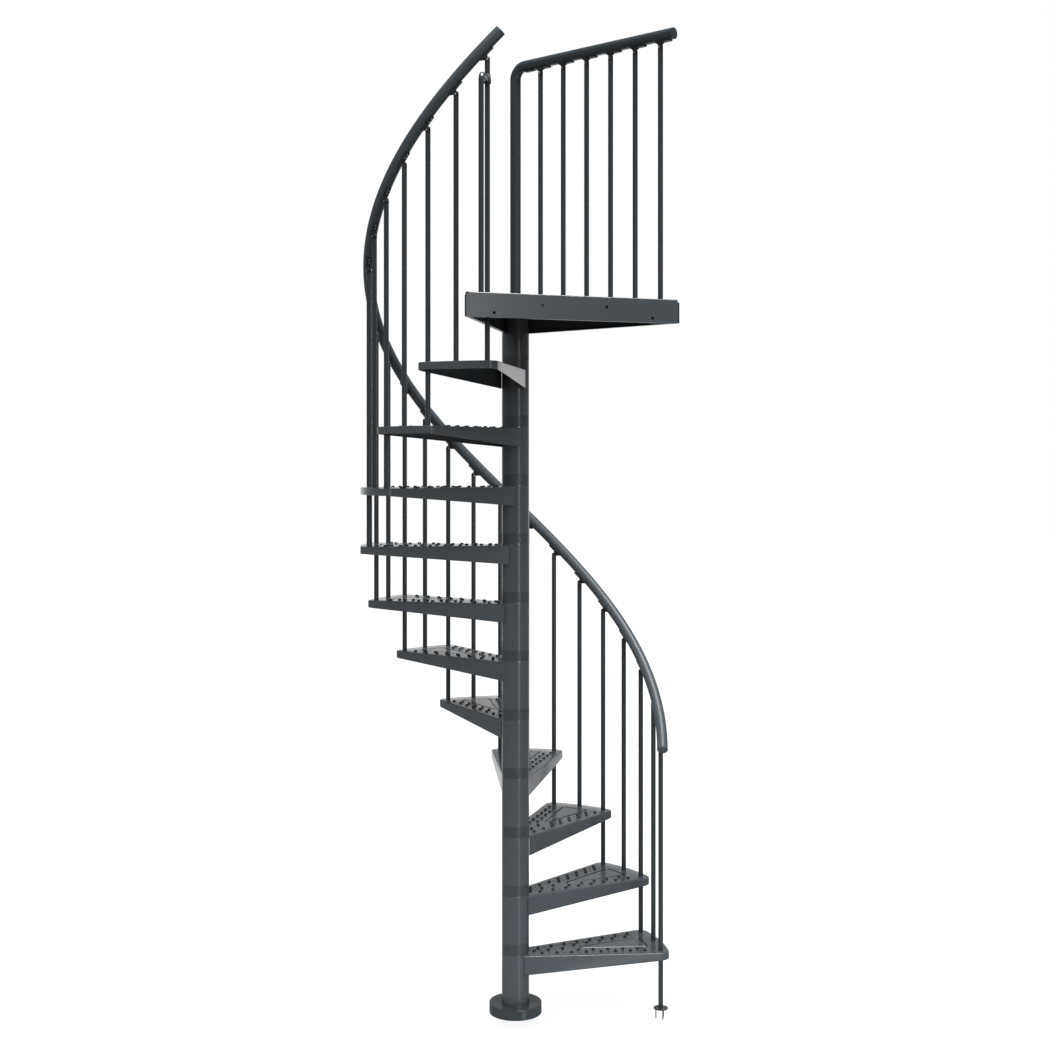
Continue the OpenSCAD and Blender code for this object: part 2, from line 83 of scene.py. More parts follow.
def surface(name, dark, light, rough, rough_spread, grain, bump, metallic=0.0,
            specular=0.5):
    """Even colour and roughness with a broad drift and a fine relief, in object space."""
    made, tree, shader = new_material(name)
    coords = tree.nodes.new("ShaderNodeTexCoord")
    fine = tree.nodes.new("ShaderNodeTexNoise")
    fine.inputs["Scale"].default_value = grain
    fine.inputs["Detail"].default_value = 3.0
    broad = tree.nodes.new("ShaderNodeTexNoise")
    broad.inputs["Scale"].default_value = 2.3
    broad.inputs["Detail"].default_value = 4.0
    for texture in (fine, broad):
        tree.links.new(coords.outputs["Object"], texture.inputs["Vector"])
    both = tree.nodes.new("ShaderNodeMix")
    both.data_type = "FLOAT"
    both.inputs[0].default_value = 0.5
    tree.links.new(fine.outputs["Fac"], both.inputs[2])
    tree.links.new(broad.outputs["Fac"], both.inputs[3])
    ramp = tree.nodes.new("ShaderNodeValToRGB")
    ramp.color_ramp.elements[0].position = 0.35
    ramp.color_ramp.elements[0].color = (*dark, 1)
    ramp.color_ramp.elements[1].position = 0.65
    ramp.color_ramp.elements[1].color = (*light, 1)
    tree.links.new(both.outputs[0], ramp.inputs[0])
    tree.links.new(ramp.outputs["Color"], shader.inputs["Base Color"])
    spread = tree.nodes.new("ShaderNodeMapRange")
    spread.inputs["From Min"].default_value = 0.3
    spread.inputs["From Max"].default_value = 0.7
    spread.inputs["To Min"].default_value = rough - rough_spread
    spread.inputs["To Max"].default_value = rough + rough_spread
    tree.links.new(broad.outputs["Fac"], spread.inputs["Value"])
    tree.links.new(spread.outputs["Result"], shader.inputs["Roughness"])
    relief = tree.nodes.new("ShaderNodeBump")
    relief.inputs["Strength"].default_value = bump
    relief.inputs["Distance"].default_value = 0.0003
    tree.links.new(fine.outputs["Fac"], relief.inputs["Height"])
    tree.links.new(relief.outputs["Normal"], shader.inputs["Normal"])
    shader.inputs["Metallic"].default_value = metallic
    shader.inputs["Specular IOR Level"].default_value = specular
    return made


powder_coat = surface("powder_coat", (0.041, 0.049, 0.056), (0.046, 0.055, 0.062),
                      0.20, 0.03, 700, 0.05)
rail_coat = surface("rail_coat", (0.042, 0.052, 0.059), (0.047, 0.058, 0.066),
                    0.40, 0.04, 700, 0.02, specular=0.28)
# The powder coat darkened, as painted shade on the balusters, the landing rail and its cap, the
# gap tube, the base cover and the foot.
shaded_coat = surface("shaded_coat", (0.019, 0.024, 0.027), (0.022, 0.028, 0.032),
                    0.22, 0.03, 700, 0.02)
ring_nylon = surface("ring_nylon", (0.029, 0.035, 0.040), (0.033, 0.040, 0.046),
                     0.30, 0.03, 1400, 0.10)
# Near black that paints shade: the walls of the studs, drain holes and bolt holes, the groove
# floors, the landing's lips and the dark seams at the fascia's ends.
painted_shade_black = surface("painted_shade_black", (0.007, 0.008, 0.010), (0.011, 0.012, 0.014),
                     0.35, 0.05, 1400, 0.3)
black_nylon = surface("black_nylon", (0.009, 0.010, 0.012), (0.013, 0.014, 0.016),
                      0.42, 0.05, 1400, 0.3)
pivot_zinc = surface("pivot_zinc", (0.34, 0.35, 0.36), (0.44, 0.45, 0.46),
                     0.36, 0.06, 700, 0.1, metallic=1.0)
dark_zinc = surface("dark_zinc", (0.10, 0.10, 0.11), (0.15, 0.15, 0.16),
                    0.38, 0.06, 700, 0.15, metallic=1.0)
cast_grey = surface("cast_grey", (0.055, 0.058, 0.060), (0.080, 0.084, 0.088),
                    0.24, 0.05, 800, 0.2)

# The frame's own pieces that stay in view; all the others that stay are powder coated. The shaded
# coat is that powder coat darkened: painted shade.
FINISH = {
    "base_cover": shaded_coat,
    "floor_foot": shaded_coat,
    "pole_cap": ring_nylon,
    "baluster_pivots": black_nylon,
    "landing_rail": shaded_coat,
    "landing_rail_cap": shaded_coat,
    "corner_balusters": shaded_coat,
    "middle_balusters": shaded_coat,
    "landing_balusters": shaded_coat,
    "gap_tube": shaded_coat,
}
for name, obj in nodes.items():
    obj.data.materials.clear()
    obj.data.materials.append(FINISH.get(name, powder_coat))


# ---------------------------------------------------------------- shape helpers
MM = 0.001
STEP_ANGLE = 23.34
RISE = 230.0
TREADS = 11
BALUSTER_R = 577.0
POLE_R = 54.0
HUB_BORE_R = 50.8
HUB_LIP = 6.0
RAIL_R = 21.0
RAIL_HEIGHT = 1129
LANDING_HALF_ANGLE = 29.75
FIRST_CORNER = 270 - LANDING_HALF_ANGLE - (TREADS + 1) * STEP_ANGLE


def corner_angle(k):
    """Bearing of the front corner of tread k, in degrees; the landing counts as tread 12."""
    return FIRST_CORNER + STEP_ANGLE * k


def middle_angle(k):
    return corner_angle(k) + STEP_ANGLE / 2


def rail_z(angle):
    """Height of the handrail's middle above the floor at that bearing."""
    return RAIL_HEIGHT + RISE * (angle - corner_angle(1)) / STEP_ANGLE


RAIL_PITCH = math.degrees(math.atan(RISE / (BALUSTER_R * math.radians(STEP_ANGLE))))


def as_mesh(name, points, faces, *materials, slots=None, sharp=32):
    """A mesh in millimetres with smooth faces and edges that stay sharp above an angle."""
    mesh = bpy.data.meshes.new(name)
    mesh.from_pydata([(x * MM, y * MM, z * MM) for x, y, z in points], [], faces)
    for material in materials:
        mesh.materials.append(material)
    if slots is not None:
        mesh.polygons.foreach_set("material_index", slots)
    work = bmesh.new()
    work.from_mesh(mesh)
    bmesh.ops.remove_doubles(work, verts=work.verts, dist=1e-6)
    bmesh.ops.dissolve_degenerate(work, dist=1e-7, edges=work.edges)
    for face in work.faces:
        face.smooth = True
    limit = math.radians(sharp)
    for edge in work.edges:
        edge.smooth = len(edge.link_faces) == 2 and edge.calc_face_angle(4) < limit
    work.to_mesh(mesh)
    work.free()
    return mesh


def put(name, mesh, *stands_for, place=None):
    """A visible piece; its place is worked into a copy of the mesh, so its box stays tight."""
    if place is not None:
        mesh = mesh.copy()
        mesh.transform(place)
    made = bpy.data.objects.new(name, mesh)
    scene.collection.objects.link(made)
    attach(made, "root")
    if stands_for:
        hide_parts(*stands_for)
    return made


class Build:
    """Points and faces gathered in millimetres, so that many small parts share one mesh."""

    def __init__(self):
        self.points = []
        self.faces = []
        self.slots = []
        self.slot = 0

    def add(self, points, faces, place=None):
        start = len(self.points)
        self.slots += [self.slot] * len(faces)
        if place is not None:
            points = [tuple(place @ Vector(p)) for p in points]
        self.points += points
        self.faces += [tuple(start + i for i in face) for face in faces]

    def lathe(self, profile, sides, place=None, closed=False, turn=360.0, first=0.0):
        """Profile of (radius, height) pairs turned about local Z."""
        points, faces = [], []
        whole = turn >= 360
        count = sides if whole else sides + 1
        for i in range(count):
            a = math.radians(first + turn * i / sides)
            for r, z in profile:
                points.append((r * math.cos(a), r * math.sin(a), z))
        n = len(profile)
        for i in range(sides):
            j = (i + 1) % count
            for k in range(n if closed else n - 1):
                m = (k + 1) % n
                faces.append((i * n + k, j * n + k, j * n + m, i * n + m))
        self.add(points, faces, place)

    def rings(self, rings, place=None, cap=True, closed=False):
        """Closed rings of equally many points joined one after the other."""
        n = len(rings[0])
        points = [p for ring in rings for p in ring]
        faces = []
        count = len(rings)
        for i in range(count if closed else count - 1):
            j = (i + 1) % count
            for k in range(n):
                m = (k + 1) % n
                faces.append((i * n + k, i * n + m, j * n + m, j * n + k))
        if cap and not closed:
            faces.append(tuple(range(n - 1, -1, -1)))
            faces.append(tuple((count - 1) * n + k for k in range(n)))
        self.add(points, faces, place)


def disc(r, sides, x=0.0, y=0.0, z=0.0):
    """A level circle of points."""
    return [(x + r * math.cos(2 * math.pi * i / sides),
             y + r * math.sin(2 * math.pi * i / sides), z) for i in range(sides)]


def turned(angle, x=0.0, y=0.0, z=0.0):
    return Matrix.Rotation(math.radians(angle), 4, "Z") @ Matrix.Translation((x, y, z))


# ---------------------------------------------------------------- punched sheet
class Sheet:
    """Flat sheet with a constrained triangulation: outline, round holes, stepped loops."""

    def __init__(self, outline):
        self.outline = outline
        self.points = []
        self.height = []
        self.edges = []
        self.holes = []
        self.loop(outline, 0.0)

    def loop(self, loop, height):
        start = len(self.points)
        n = len(loop)
        self.points += loop
        self.height += [height] * n
        self.edges += [(start + i, start + (i + 1) % n) for i in range(n)]

    def hole(self, x, y, r, sides):
        self.loop([point[:2] for point in disc(r, sides, x, y)], 0.0)
        self.holes.append((x, y, r))

    def solve(self):
        """Points and the triangles that lie inside the outline and outside the holes."""
        flat = [Vector((x * MM, y * MM)) for x, y in self.points]
        points, _, faces, origin, _, _ = geometry.delaunay_2d_cdt(
            flat, self.edges, [], 0, 1e-9)
        kept = []
        for face in faces:
            cx = sum(points[i].x for i in face) / len(face) / MM
            cy = sum(points[i].y for i in face) / len(face) / MM
            if not inside(cx, cy, self.outline):
                continue
            if any((cx - x) ** 2 + (cy - y) ** 2 < (0.97 * r) ** 2 for x, y, r in self.holes):
                continue
            kept.append(tuple(face))
        heights = [self.height[o[0]] if o else 0.0 for o in origin]
        return [(p.x / MM, p.y / MM, h) for p, h in zip(points, heights)], kept


def inside(x, y, loop):
    """Whether the point lies inside the loop."""
    hit = False
    for i in range(len(loop)):
        x0, y0 = loop[i - 1]
        x1, y1 = loop[i]
        if (y0 > y) != (y1 > y) and x < (x1 - x0) * (y - y0) / (y1 - y0) + x0:
            hit = not hit
    return hit


CROWN_R = 7.6
CROWN_SIDES = 16
DRAIN_R = 4.2
DRAIN_SIDES = 10
STUD_PITCH = 57.5
GROOVE = ((4.5, 0.0), (1.5, -2.2), (-1.5, -2.2), (-4.5, 0.0))


def both_faces(build, sheet, thickness):
    """Upper and lower face of the sheet; the floor of its grooves is the dark slot, painted
    shade.
    """
    points, faces = sheet.solve()
    build.add(points, faces)
    for i, face in enumerate(faces, len(build.slots) - len(faces)):
        build.slots[i] = int(min(points[k][2] for k in face) < -0.5)
    build.add([(x, y, z - thickness) for x, y, z in points], [f[::-1] for f in faces])


def crown(build, x, y, thickness):
    """A punched stud: a collar drawn up round an open hole, with a notched rim; its walls take
    the dark slot, painted shade.
    """
    outer = [disc(r, CROWN_SIDES, x, y, z)
             for r, z in ((CROWN_R, 0.0), (7.0, 0.5), (6.5, 2.0), (6.3, 4.6))]
    rim = [(px, py, 5.6 if i % 2 else 4.4)
           for i, (px, py, _) in enumerate(disc(5.5, CROWN_SIDES, x, y))]
    inner = [disc(r, CROWN_SIDES, x, y, z)
             for r, z in ((4.8, 3.8), (4.6, 0.5), (5.0, -thickness + 0.4),
                          (CROWN_R, -thickness))]
    build.slot = 1
    build.rings(outer + [rim] + inner, cap=False)
    build.slot = 0


def drain(build, x, y, thickness):
    """The wall of a small drain hole, narrowed in the middle, in the dark slot: painted shade."""
    build.slot = 1
    build.rings([disc(r, DRAIN_SIDES, x, y, z)
                 for r, z in ((DRAIN_R, 0.0), (3.2, -1.2), (3.2, -1.8), (DRAIN_R, -thickness))],
                cap=False)
    build.slot = 0


def rounded(corners, radius, grow):
    """Corner points with arcs of that radius; grow moves every side outwards."""
    n = len(corners)
    loop = []
    for i in range(n):
        p0, p1, p2 = (Vector(corners[(i + d) % n]) for d in (-1, 0, 1))
        a = (p0 - p1).normalized()
        b = (p2 - p1).normalized()
        half = a.angle(b) / 2
        centre = p1 + (a + b).normalized() * (radius / math.sin(half))
        start = math.atan2(*(reversed(((p1 + a * radius / math.tan(half)) - centre))))
        end = math.atan2(*(reversed(((p1 + b * radius / math.tan(half)) - centre))))
        sweep = (end - start + math.pi) % (2 * math.pi) - math.pi
        for j in range(7):
            t = start + sweep * j / 6
            loop.append((centre.x + (radius + grow) * math.cos(t),
                         centre.y + (radius + grow) * math.sin(t)))
    return loop


# ---------------------------------------------------------------- treads
SHEET = 3.0
BEND = 4.0
TREAD_R = 609.98
TREAD_ROOT_DROP = 74.0
TREAD_END_DROP = 28.0
FLANGE_START_R = 57.0
ROOT_HALF = 47.0
SIDE_ANGLE = STEP_ANGLE / 2 - math.degrees(math.asin((ROOT_HALF - 38) / BALUSTER_R))
CORNER_R = 38.0


def tread_path():
    """Outline of a tread from the pole, round the outer edge and back: point and outward side."""
    a = math.radians(SIDE_ANGLE)
    along = math.sqrt((TREAD_R - CORNER_R) ** 2 - (ROOT_HALF - CORNER_R) ** 2)
    start = math.sqrt(FLANGE_START_R ** 2 - ROOT_HALF ** 2)
    path = []
    for t in (24.0, start, start, 120, 220, 320, 420, 500, along):
        path.append((t * math.cos(a) - ROOT_HALF * math.sin(a),
                     -t * math.sin(a) - ROOT_HALF * math.cos(a), -math.sin(a), -math.cos(a)))
    centre = (along * math.cos(a) - (ROOT_HALF - CORNER_R) * math.sin(a),
              -(along * math.sin(a) + (ROOT_HALF - CORNER_R) * math.cos(a)))
    far = math.atan2(centre[1], centre[0])
    first = -a - math.pi / 2
    for i in range(1, 9):
        t = first + (far - first) * i / 8
        path.append((centre[0] + CORNER_R * math.cos(t), centre[1] + CORNER_R * math.sin(t),
                     math.cos(t), math.sin(t)))
    for i in range(1, 12):
        t = far - 2 * far * i / 24
        path.append((TREAD_R * math.cos(t), TREAD_R * math.sin(t), math.cos(t), math.sin(t)))
    path.append((TREAD_R, 0.0, 1.0, 0.0))
    return path + [(x, -y, nx, -ny) for x, y, nx, ny in reversed(path[:-1])]


def tread_depth(x, root_x):
    """Depth of the side flange, which tapers from the pole to the balusters."""
    taper = TREAD_ROOT_DROP - TREAD_END_DROP
    return max(TREAD_END_DROP, TREAD_ROOT_DROP - taper * (x - root_x) / (BALUSTER_R - root_x))


def skirt(build, path, depths, thickness, bend):
    """Bend and flange that run along the path, with the sheet's own thickness."""
    profile = [(bend, 0.0)]
    for i in range(1, 5):
        t = math.pi / 2 * i / 4
        profile.append((bend - bend * math.sin(t), bend * math.cos(t) - bend))
    rings = []
    for (x, y, nx, ny), depth in zip(path, depths):
        ring = list(profile)
        ring += [(0.0, -depth + 0.5), (0.5, -depth), (thickness - 0.5, -depth),
                 (thickness, -depth + 0.5), (thickness, -bend),
                 (thickness + 0.4, -thickness - 0.3), (bend, -thickness)]
        rings.append([(x - nx * inset, y - ny * inset, z) for inset, z in ring])
    points = [p for ring in rings for p in ring]
    n = len(rings[0])
    faces = []
    for i in range(len(rings) - 1):
        for k in range(n - 1):
            faces.append((i * n + k, (i + 1) * n + k, (i + 1) * n + k + 1, i * n + k + 1))
    build.add(points, [f[::-1] for f in faces])


def tread_mesh():
    build = Build()
    path = tread_path()
    root_x = path[1][0]
    depths = []
    for i, (x, y, nx, ny) in enumerate(path):
        bare = i < 2 or i > len(path) - 3
        depths.append(BEND + 0.6 if bare else tread_depth(x, root_x))
    skirt(build, path, depths, SHEET, BEND)
    outline = [(x - nx * BEND, y - ny * BEND) for x, y, nx, ny in path]
    outline = [p for i, p in enumerate(outline) if i == 0 or p != outline[i - 1]]
    last = math.degrees(math.atan2(outline[-1][1], outline[-1][0]))
    first = math.degrees(math.atan2(outline[0][1], outline[0][0]))
    radius = math.hypot(*outline[0])
    for i in range(1, 8):
        t = math.radians(last + (first - last) * i / 8)
        outline.append((radius * math.cos(t), radius * math.sin(t)))
    sheet = Sheet(outline)
    triangle = [(232.0, 0.0), (533.0, -57.0), (533.0, 57.0)]
    for grow, height in GROOVE:
        sheet.loop(rounded(triangle, 8.0, grow), height)
    slope = math.tan(math.radians(SIDE_ANGLE))
    spots, small = [], []
    for side in (-1, 1):
        for i in range(8):
            u = 503.0 - STUD_PITCH * i
            spots.append((u, side * (slope * u + 11.6)))
            if i < 7:
                u -= STUD_PITCH / 2
                small.append((u, side * (slope * u + 11.6)))
        for i in range(5):
            u = 481.0 - 57.8 * i
            spots.append((u, side * (slope * u - 15.9)))
            u += 28.9
            small.append((u, side * (slope * u - 15.9)))
    for i in range(3):
        spots.append((193.8 - 59.0 * i, 0.0))
        if i < 2:
            small.append((164.3 - 59.0 * i, 0.0))
    for x, y in spots:
        sheet.hole(x, y, CROWN_R, CROWN_SIDES)
        crown(build, x, y, SHEET)
    for x, y in small:
        sheet.hole(x, y, DRAIN_R, DRAIN_SIDES)
        drain(build, x, y, SHEET)
    both_faces(build, sheet, SHEET)
    hub(build, TREAD_ROOT_DROP)
    return as_mesh("tread", build.points, build.faces, powder_coat, painted_shade_black,
                   slots=build.slots)


def hub(build, depth):
    """Hub round the pole, with the weld that joins the sheet to it."""
    build.lathe([(HUB_BORE_R, -depth), (POLE_R - 0.2, -depth), (POLE_R, -depth + 0.2),
                 (POLE_R, HUB_LIP - 0.3), (POLE_R - 0.3, HUB_LIP), (HUB_BORE_R, HUB_LIP)], 96)
    build.lathe([(POLE_R, 4.2), (54.6, 3.4), (56.2, 1.2), (58.2, 0.0), (POLE_R, -0.5)], 72,
                turn=118, first=-59)


tread_shape = tread_mesh()
for k in range(1, TREADS + 1):
    put(f"stair_tread_{k:02d}", tread_shape, f"tread_{k:02d}",
        place=Matrix.Translation((0, 0, RISE * k * MM))
        @ Matrix.Rotation(math.radians(middle_angle(k)), 4, "Z"))


# ---------------------------------------------------------------- landing
LANDING_Z = (TREADS + 1) * RISE
LANDING_EDGE = 626.0
LANDING_ROOT = 42.0
LANDING_DROP = 87.0
LANDING_SIDE = LANDING_HALF_ANGLE + math.degrees(math.asin(3.0 / BALUSTER_R))
LANDING_HALF = (LANDING_ROOT / math.cos(math.radians(LANDING_SIDE))
                + LANDING_EDGE * math.tan(math.radians(LANDING_SIDE)))


def plate(build, outline, holes, thickness, place):
    """Flat plate with round holes and closed edges, its face in local z 0."""
    work = Build()
    sheet = Sheet(outline)
    for x, y, r in holes:
        sheet.hole(x, y, r, 24)
    both_faces(work, sheet, thickness)
    work.rings([[(x, y, z) for x, y in outline] for z in (0.0, -thickness)], cap=False)
    build.add(work.points, work.faces, place)
    # Hole walls in the dark slot: painted shade inside the holes.
    build.slot = 1
    for x, y, r in holes:
        build.rings([disc(r, 24, x, y, z) for z in (0.0, -thickness)], place, cap=False)
    build.slot = 0


def strip(build, path, profile):
    """A profile of (inset, height) run along a path of points with outward normals."""
    points = [(x - nx * inset, y - ny * inset, z)
              for x, y, nx, ny in path for inset, z in profile]
    n = len(profile)
    build.add(points, [(i * n + k, i * n + k + 1, (i + 1) * n + k + 1, (i + 1) * n + k)
                       for i in range(len(path) - 1) for k in range(n - 1)])


def landing_mesh():
    build = Build()
    a = math.radians(LANDING_SIDE)
    start = math.sqrt(54.6 ** 2 - LANDING_ROOT ** 2)
    corner = (LANDING_EDGE + LANDING_ROOT * math.sin(a)) / math.cos(a)
    bend = [(BEND - BEND * math.sin(math.pi / 8 * i), BEND * math.cos(math.pi / 8 * i) - BEND)
            for i in range(5)]
    outer = bend + [(0.0, -LANDING_DROP + 1.0), (0.3, -LANDING_DROP + 0.3)]
    lip = [(0.3, -LANDING_DROP + 0.3), (1.0, -LANDING_DROP), (15.5, -LANDING_DROP),
           (16.0, -LANDING_DROP + 0.5), (16.0, -LANDING_DROP + SHEET),
           (SHEET, -LANDING_DROP + SHEET)]
    inner = [(SHEET, -LANDING_DROP + SHEET), (SHEET, -BEND), (BEND, -SHEET)]
    ends = {}
    for side in (-1, 1):
        path = []
        for t in (start, 0.4 * corner, corner - 9.0):
            x = t * math.cos(a) - LANDING_ROOT * math.sin(a)
            y = side * (t * math.sin(a) + LANDING_ROOT * math.cos(a))
            path.append((x, y, -math.sin(a), side * math.cos(a)))
        run = path if side > 0 else path[::-1]
        strip(build, run, outer)
        strip(build, run, inner)
        # The lips under the side flanges take the dark slot: painted shade.
        build.slot = 1
        strip(build, run, lip)
        build.slot = 0
        ends[side] = path
    face = LANDING_HALF - 5.5
    front = [(LANDING_EDGE, y, 1.0, 0.0) for y in (face - 9.0, -face + 9.0)]
    strip(build, front, bend)
    strip(build, front, [(SHEET, -BEND), (BEND, -SHEET)])
    upright = Matrix.Translation((LANDING_EDGE, 0, 0)) @ Matrix(
        ((0, 0, 1, 0), (1, 0, 0, 0), (0, 1, 0, 0), (0, 0, 0, 1)))
    plate(build, [(-face, -LANDING_DROP), (face, -LANDING_DROP), (face, -9.0),
                  (face - 9.0, -BEND + 0.05), (-face + 9.0, -BEND + 0.05), (-face, -9.0)],
          [(-303.0, -70.0, 5.9), (303.0, -70.0, 5.9), (-123.0, -37.0, 5.9),
           (123.0, -37.0, 5.9)], SHEET, upright)
    # Painted shade: dark strips behind both ends of the fascia where the seams are, and the dark
    # slot on the lip under the fascia.
    build.slot = 1
    for side in (-1, 1):
        near, far = sorted((side * (face - 1.0), side * (LANDING_HALF - 0.3)))
        build.rings([[(near, -LANDING_DROP + 0.5, z), (far, -LANDING_DROP + 0.5, z),
                      (far, -11.0, z), (near, -11.0, z)] for z in (-3.2, -0.8)], upright)
    strip(build, [(LANDING_EDGE, face - 12.0, 1.0, 0.0), (LANDING_EDGE, -face + 12.0, 1.0, 0.0)],
          [(0.2, -LANDING_DROP), (15.5, -LANDING_DROP), (16.0, -LANDING_DROP + 0.5),
           (16.0, -LANDING_DROP + SHEET), (SHEET, -LANDING_DROP + SHEET)])
    build.slot = 0
    outline = []
    for side in (-1, 1):
        rows = [(x - nx * BEND, y - ny * BEND) for x, y, nx, ny in ends[side]]
        rows = [rows[0], rows[-1], (LANDING_EDGE - BEND, side * (face - 9.0))]
        outline += rows if side < 0 else rows[::-1]
    last = math.atan2(outline[-1][1], outline[-1][0])
    radius = math.hypot(*outline[-1])
    for i in range(1, 12):
        t = last - 2 * last * i / 12
        outline.append((radius * math.cos(t), radius * math.sin(t)))
    sheet = Sheet(outline)
    triangle = [(270.0, 0.0), (470.0, -110.0), (470.0, 110.0)]
    for grow, height in GROOVE:
        sheet.loop(rounded(triangle, 10.0, grow), height)
    spots, small = [], []
    for side in (-1, 1):
        for inset, shift, count in ((84.0, 0.0, 9), (111.0, STUD_PITCH / 2, 8)):
            for i in range(count):
                t = 640.0 - shift - STUD_PITCH * i
                for target, u in ((spots, t), (small, t - STUD_PITCH / 2)):
                    x = u * math.cos(a) - (LANDING_ROOT - inset) * math.sin(a)
                    y = u * math.sin(a) + (LANDING_ROOT - inset) * math.cos(a)
                    if y > 16.0 and x < 560.0:
                        target.append((x, side * y))
    for row, x in enumerate((517.0, 544.0)):
        for i in range(-4, 5):
            y = STUD_PITCH * i + (STUD_PITCH / 2 if row else 0.0)
            for target, v in ((spots, y), (small, y + STUD_PITCH / 2)):
                if abs(v) < 230.0:
                    target.append((x, v))
    placed = []
    for target, make, r, sides in ((spots, crown, CROWN_R, CROWN_SIDES),
                                   (small, drain, DRAIN_R, DRAIN_SIDES)):
        for x, y in target:
            if all((x - px) ** 2 + (y - py) ** 2 > (r + pr + 3) ** 2 for px, py, pr in placed):
                sheet.hole(x, y, r, sides)
                make(build, x, y, SHEET)
                placed.append((x, y, r))
    both_faces(build, sheet, SHEET)
    hub(build, LANDING_DROP)
    return as_mesh("landing_deck", build.points, build.faces, powder_coat, painted_shade_black,
                   slots=build.slots)


put("landing_deck", landing_mesh(), "landing",
    place=Matrix.Translation((0, 0, LANDING_Z * MM)) @ Matrix.Rotation(math.radians(270), 4, "Z"))


# ---------------------------------------------------------------- handrail
def rail_frame(angle):
    """Local axes on the handrail: +X outward, +Y uphill along the rail, +Z square to both."""
    a = math.radians(angle)
    return (Matrix.Translation((BALUSTER_R * math.cos(a), BALUSTER_R * math.sin(a),
                                rail_z(angle)))
            @ Matrix.Rotation(a, 4, "Z") @ Matrix.Rotation(math.radians(RAIL_PITCH), 4, "X"))


RAIL_FIRST = corner_angle(1) - 8.4
RAIL_LAST = corner_angle(TREADS + 1) + 4.5


def circle(r, sides, y):
    """A circle of points square to the rail's own Y."""
    return [(r * math.cos(2 * math.pi * i / sides), y, r * math.sin(2 * math.pi * i / sides))
            for i in range(sides)]


def handrail_mesh():
    build = Build()
    count = 180
    rings = []
    for i in range(count + 1):
        place = rail_frame(RAIL_FIRST + (RAIL_LAST - RAIL_FIRST) * i / count)
        rings.append([tuple(place @ Vector(p)) for p in circle(RAIL_R, 40, 0.0)])
    build.rings(rings)
    return as_mesh("handrail_tube", build.points, build.faces, rail_coat)


put("handrail_tube", handrail_mesh(), "handrail")


def handrail_cap_mesh():
    build = Build()
    low = rail_frame(RAIL_FIRST)
    profile = [(20.6, 0.4), (21.2, 0.2), (21.5, -0.3), (21.5, -5.2), (21.1, -6.2),
               (19.4, -8.6), (16.0, -11.2), (11.0, -13.2), (5.5, -14.2), (1.0, -14.4)]
    build.rings([[tuple(low @ Vector(p)) for p in circle(r, 48, y)] for r, y in profile])
    high = rail_frame(RAIL_LAST)
    profile = [(20.8, -0.2), (20.8, 0.4), (21.0, 0.6), (21.0, 3.2), (20.2, 4.0), (17.6, 4.0),
               (17.2, 3.5), (1.0, 3.5)]
    build.rings([[tuple(high @ Vector(p)) for p in circle(r, 48, y)] for r, y in profile])
    return as_mesh("handrail_end_caps", build.points, build.faces, rail_coat)


put("handrail_end_caps", handrail_cap_mesh(), "handrail_caps")


# ---------------------------------------------------------------- slip rings
def ring_mesh():
    """A ring on every hub, with two fine grooves round it."""
    build = Build()
    for k in range(1, TREADS + 2):
        z = RISE * k + HUB_LIP
        build.lathe([(HUB_BORE_R, z), (53.1, z), (53.5, z + 0.4), (53.5, z + 13.4),
                     (53.2, z + 13.8), (53.2, z + 14.2), (53.5, z + 14.6), (53.5, z + 27.4),
                     (53.2, z + 27.8), (53.2, z + 28.2), (53.5, z + 28.6), (53.5, z + 41.6),
                     (53.1, z + 42.0), (HUB_BORE_R, z + 42.0)], 96)
    return as_mesh("slip_rings", build.points, build.faces, ring_nylon)


put("slip_rings", ring_mesh(), "pole_rings")


# ---------------------------------------------------------------- brackets, screws and nuts
def cross_head(build, place, r, height):
    """Pan head with a cross recess; local +Z points out of the head."""
    sides = 24
    outer = [(r * 1.0, 0.0), (r * 0.98, height * 0.45), (r * 0.8, height * 0.85),
             (r * 0.62, height)]
    rings = [disc(q, sides, z=z) for q, z in outer]
    slot = []
    for i in range(sides):
        t = 2 * math.pi * i / sides
        reach = 0.52 * r if i % 6 == 0 else (0.45 * r if i % 6 in (1, 5) else 0.17 * r)
        slot.append((reach * math.cos(t), reach * math.sin(t)))
    rings.append([(x, y, height) for x, y in slot])
    rings.append([(0.8 * x, 0.8 * y, height * 0.35) for x, y in slot])
    build.rings(rings, place)


def hex_head(build, place, across, height, washer):
    """Hexagon head on a round washer; local +Z points out of the head."""
    build.lathe([(0.5, 0.0), (washer / 2 - 0.3, 0.0), (washer / 2, 0.3), (washer / 2, 1.3),
                 (washer / 2 - 0.3, 1.6), (0.5, 1.6)], 32, place)
    rings = []
    for r, z in ((across / 1.732, 1.6), (across / 1.732, 1.0 + height),
                 (across / 1.95, 1.6 + height), (across / 2.6, 1.6 + height)):
        rings.append([(r * math.cos(math.pi * i / 3), r * math.sin(math.pi * i / 3), z)
                      for i in range(6)])
    build.rings(rings, place)


def baluster_places():
    """Each baluster under the handrail: its frame at the rail's height and the rail's pitch."""
    made = []
    for k in range(1, TREADS + 2):
        made.append(corner_angle(k))
        if k <= TREADS:
            made.append(middle_angle(k))
    return [(turned(a, BALUSTER_R, 0, rail_z(a)), RAIL_PITCH) for a in made]


REACH = 41.4
LANDING_TURN = 270 + LANDING_HALF_ANGLE
LANDING_RAIL_Z = LANDING_Z + 960.0
LANDING_PITCH = 113.3
LANDING_SPOTS = [128.0 + LANDING_PITCH * j for j in range(6)]


def landing_places():
    """Each baluster on the landing: its frame at the rail's height; the rail is level."""
    return [(turned(LANDING_TURN, spot, 0, LANDING_RAIL_Z)
             @ Matrix.Rotation(math.radians(-90), 4, "Z"), 0.0) for spot in LANDING_SPOTS]


def tilt(pitch):
    return Matrix.Rotation(math.radians(pitch), 4, "X")


